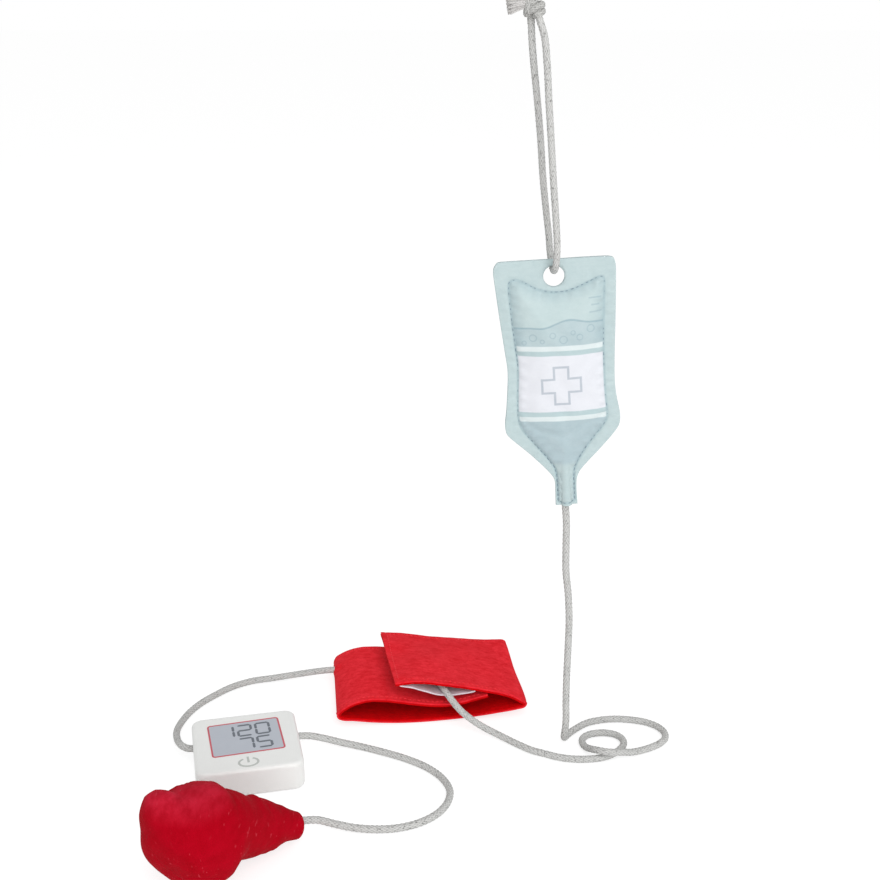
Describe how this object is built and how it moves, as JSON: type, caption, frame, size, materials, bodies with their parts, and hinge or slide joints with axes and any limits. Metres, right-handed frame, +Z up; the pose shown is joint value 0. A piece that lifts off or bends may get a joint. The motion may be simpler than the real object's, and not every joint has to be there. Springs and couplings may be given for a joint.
{
  "type": "toy infusion and blood pressure set",
  "caption": "Toy medical set: stuffed felt drip bag on a cord loop, its line, felt arm cuff with flap, wooden monitor block and stuffed pump bulb joined by cords.",
  "frame": {"origin": "on the floor, at the middle of the box round the set without its cords", "axes": "+Z up, -Y towards the side that the set shows, +X to the right of someone who looks at it"},
  "size_m": [0.3438, 0.2865, 0.4934],
  "materials": {
    "painted_wood": "white satin paint with a printed display",
    "red_felt": "matt red felt",
    "red_lining": "matt dark red felt",
    "hook_pad": "white hook tape",
    "loop_pad": "white soft loop tape",
    "bulb_cloth": "crimson brushed cloth",
    "bag_felt": "printed pale blue felt",
    "wadding": "white wadding",
    "grey_cord": "light grey braided cord"
  },
  "bodies": {
    "set": {"monitor_block": "painted_wood", "cuff_outer_felt": "red_felt", "cuff_lining": "red_lining", "cuff_loop_pad": "loop_pad", "bulb_front_panel": "bulb_cloth", "bulb_back_panel": "bulb_cloth", "bulb_filling": "wadding", "hanging_loop": "grey_cord", "hanging_knot": "grey_cord", "frayed_ends": "grey_cord", "iv_line": "grey_cord", "iv_line_tail": "grey_cord", "cuff_cord": "grey_cord", "bulb_cord": "grey_cord"},
    "bag": {"bag_front_panel": "bag_felt", "bag_back_panel": "bag_felt", "bag_filling": "wadding"},
    "flap": {"flap_outer_felt": "red_felt", "flap_lining": "red_lining", "flap_hook_pad": "hook_pad"}
  },
  "joints": [
    {"name": "bag_swing", "type": "hinge", "parent": "set", "child": "bag", "pos_m": [0.0997, 0.0326, 0.3304], "axis": [0, 1, 0], "range_deg": [-25, 25], "deforming": ["iv_line"]},
    {"name": "flap_open", "type": "hinge", "parent": "set", "child": "flap", "pos_m": [0.0921, 0.0638, 0.0125], "axis": [-0.1045, 0.9945, 0], "range_deg": [0, 150], "deforming": ["iv_line_tail"]}
  ]
}
